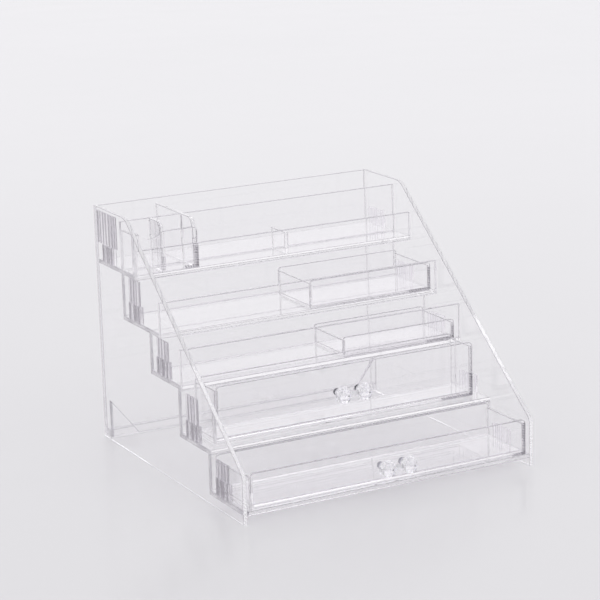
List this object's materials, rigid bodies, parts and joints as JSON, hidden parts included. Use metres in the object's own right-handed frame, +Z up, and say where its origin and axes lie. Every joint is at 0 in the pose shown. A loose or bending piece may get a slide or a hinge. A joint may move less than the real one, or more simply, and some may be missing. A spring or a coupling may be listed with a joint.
{
  "type": "cosmetics organizer",
  "caption": "Clear stepped organizer for cosmetics with open shelves, divided top cells, loose trays and pull-out drawers with faceted ball pulls.",
  "frame": {"origin": "on the table, under the middle of the whole object with its pulls", "axes": "+Z up, +X to the right seen from the front, +Y towards the back panel"},
  "size_m": [0.3, 0.318, 0.231],
  "materials": {
    "case_sheet": "clear polished sheet",
    "drawer_sheet": "clear polished sheet",
    "tray_sheet": "clear polished sheet",
    "clip_moulding": "clear moulded",
    "pull_crystal": "clear faceted",
    "screw_metal": "bright plated"
  },
  "bodies": {
    "case": {"left_side_panel": "case_sheet", "right_side_panel": "case_sheet", "back_panel": "case_sheet", "rear_rail": "case_sheet", "left_corner_gusset": "case_sheet", "right_corner_gusset": "case_sheet", "base_floor": "case_sheet", "tier_1_floor": "case_sheet", "tier_2_floor": "case_sheet", "tier_3_floor": "case_sheet", "tier_4_floor": "case_sheet", "riser_2": "case_sheet", "riser_3": "case_sheet", "riser_4": "case_sheet", "riser_5": "case_sheet", "tier_1_lip": "case_sheet", "tier_2_lip": "case_sheet", "tier_3_lip": "case_sheet", "tier_1_partition": "case_sheet", "tier_1_long_divider": "case_sheet", "tier_1_small_divider": "case_sheet", "tier_1_cell_front": "case_sheet", "tier_1_cell_left_wall": "case_sheet", "tier_1_trough_divider": "case_sheet", "left_shelf_clips": "clip_moulding", "right_shelf_clips": "clip_moulding"},
    "drawer_4": {"drawer_4_front": "drawer_sheet", "drawer_4_back": "drawer_sheet", "drawer_4_left_wall": "drawer_sheet", "drawer_4_right_wall": "drawer_sheet", "drawer_4_floor": "drawer_sheet", "drawer_4_pull_balls": "pull_crystal", "drawer_4_pull_bar": "pull_crystal", "drawer_4_pull_screws": "screw_metal"},
    "drawer_5": {"drawer_5_front": "drawer_sheet", "drawer_5_back": "drawer_sheet", "drawer_5_left_wall": "drawer_sheet", "drawer_5_right_wall": "drawer_sheet", "drawer_5_floor": "drawer_sheet", "drawer_5_pull_balls": "pull_crystal", "drawer_5_pull_bar": "pull_crystal", "drawer_5_pull_screws": "screw_metal"},
    "tray_a": {"tray_a_front": "tray_sheet", "tray_a_back": "tray_sheet", "tray_a_left_wall": "tray_sheet", "tray_a_right_wall": "tray_sheet", "tray_a_floor": "tray_sheet"},
    "tray_b": {"tray_b_front": "tray_sheet", "tray_b_back": "tray_sheet", "tray_b_left_wall": "tray_sheet", "tray_b_right_wall": "tray_sheet", "tray_b_floor": "tray_sheet"}
  },
  "joints": [
    {"name": "drawer_4_slide", "type": "slide", "parent": "case", "child": "drawer_4", "axis": [0, -1, 0], "range_m": [0, 0.03]},
    {"name": "drawer_5_slide", "type": "slide", "parent": "case", "child": "drawer_5", "axis": [0, -1, 0], "range_m": [0, 0.03]},
    {"name": "tray_a_slide", "type": "slide", "parent": "case", "child": "tray_a", "axis": [-1, 0, 0], "range_m": [0, 0.15]},
    {"name": "tray_b_slide", "type": "slide", "parent": "case", "child": "tray_b", "axis": [-1, 0, 0], "range_m": [0, 0.16]}
  ]
}
